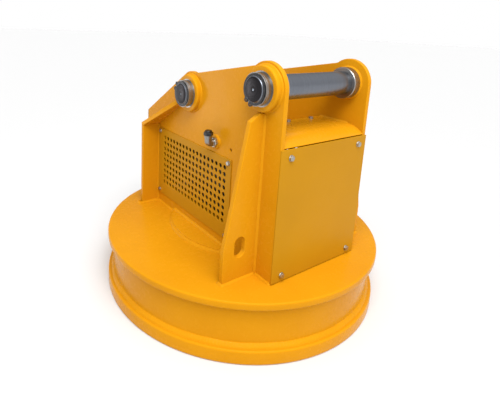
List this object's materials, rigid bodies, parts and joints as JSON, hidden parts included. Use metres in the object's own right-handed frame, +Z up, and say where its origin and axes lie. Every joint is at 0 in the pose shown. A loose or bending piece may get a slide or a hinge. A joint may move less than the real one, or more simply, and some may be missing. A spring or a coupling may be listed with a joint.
{
  "type": "lifting magnet",
  "caption": "Round hydraulic lifting magnet with a two-ear pin bracket, grilled power-pack housing and spool-shaped pot for an excavator arm",
  "frame": {"origin": "centre of the pole faces, where the magnet rests on its load", "axes": "+Z up along the pot's axis, +Y along both attachment pins, +X towards the plain front cover"},
  "size_m": [1.1999, 1.2, 1.0189],
  "materials": {
    "paint": "gloss orange-yellow enamel",
    "cover_paint": "satin mustard enamel",
    "steel": "turned steel",
    "pin_steel": "polished hardened steel",
    "zinc": "zinc-plated",
    "dark_steel": "oiled steel",
    "cast": "painted casting",
    "aluminium": "insulated aluminium strip",
    "resin": "cast resin",
    "rubber": "black rubber",
    "spider": "red polyurethane"
  },
  "bodies": {
    "magnet": {"top_plate": "paint", "pot_wall": "paint", "pole_ring": "paint", "centre_pole": "steel", "coil_former": "resin", "coil_winding": "aluminium", "coil_potting": "resin", "wear_plate": "dark_steel", "doubler_plate": "paint", "ear_near": "paint", "ear_far": "paint", "front_gusset_near": "paint", "front_gusset_far": "paint", "rear_gusset_near": "paint", "rear_gusset_far": "paint", "boss_rings": "paint", "pin_bushes": "steel", "roof_plate": "paint", "access_lid": "paint", "lid_bolts": "zinc", "cover_frames": "paint", "front_cover": "cover_paint", "rear_cover": "cover_paint", "cover_bolts": "zinc", "grille_near": "cover_paint", "grille_far": "cover_paint", "grille_screws": "zinc", "port_bosses": "paint", "port_adapters": "zinc", "port_elbows": "steel", "port_caps": "dark_steel", "hydraulic_pipes": "steel", "valve_block": "steel", "mounting_tray": "paint", "rubber_mounts": "rubber", "generator_housing": "cast", "end_bells": "cast", "generator_stator": "steel", "generator_bearings": "steel", "fan_cowl": "dark_steel", "bell_housing": "cast", "motor_casing": "cast", "control_box": "cast", "control_box_lid": "cast", "rectifier": "aluminium", "coil_lead": "rubber"},
    "front_pin_body": {"front_pin": "pin_steel", "front_pin_washers": "steel", "front_pin_circlips": "dark_steel"},
    "rear_pin_body": {"rear_pin": "pin_steel", "rear_pin_washers": "steel", "rear_pin_circlips": "dark_steel"},
    "rotor": {"generator_rotor": "dark_steel", "generator_shaft": "steel", "cooling_fan": "aluminium", "coupling_hubs": "steel", "coupling_spider": "spider", "motor_drive_gear": "steel"},
    "idler": {"motor_idler_gear": "steel"}
  },
  "joints": [
    {"name": "front_pin_turn", "type": "hinge", "parent": "magnet", "child": "front_pin_body", "pos_m": [0.357, 0, 0.926], "axis": [0, 1, 0], "continuous": true},
    {"name": "rear_pin_turn", "type": "hinge", "parent": "magnet", "child": "rear_pin_body", "pos_m": [-0.1, 0, 0.838], "axis": [0, 1, 0], "continuous": true},
    {"name": "generator_spin", "type": "hinge", "parent": "magnet", "child": "rotor", "pos_m": [-0.14, 0, 0.43], "axis": [1, 0, 0], "continuous": true},
    {"name": "idler_spin", "type": "hinge", "parent": "magnet", "child": "idler", "pos_m": [0.16, 0, 0.376], "axis": [1, 0, 0], "continuous": true}
  ],
  "couplings": [
    {"joint": "idler_spin", "follows": "generator_spin", "ratio": -1}
  ]
}
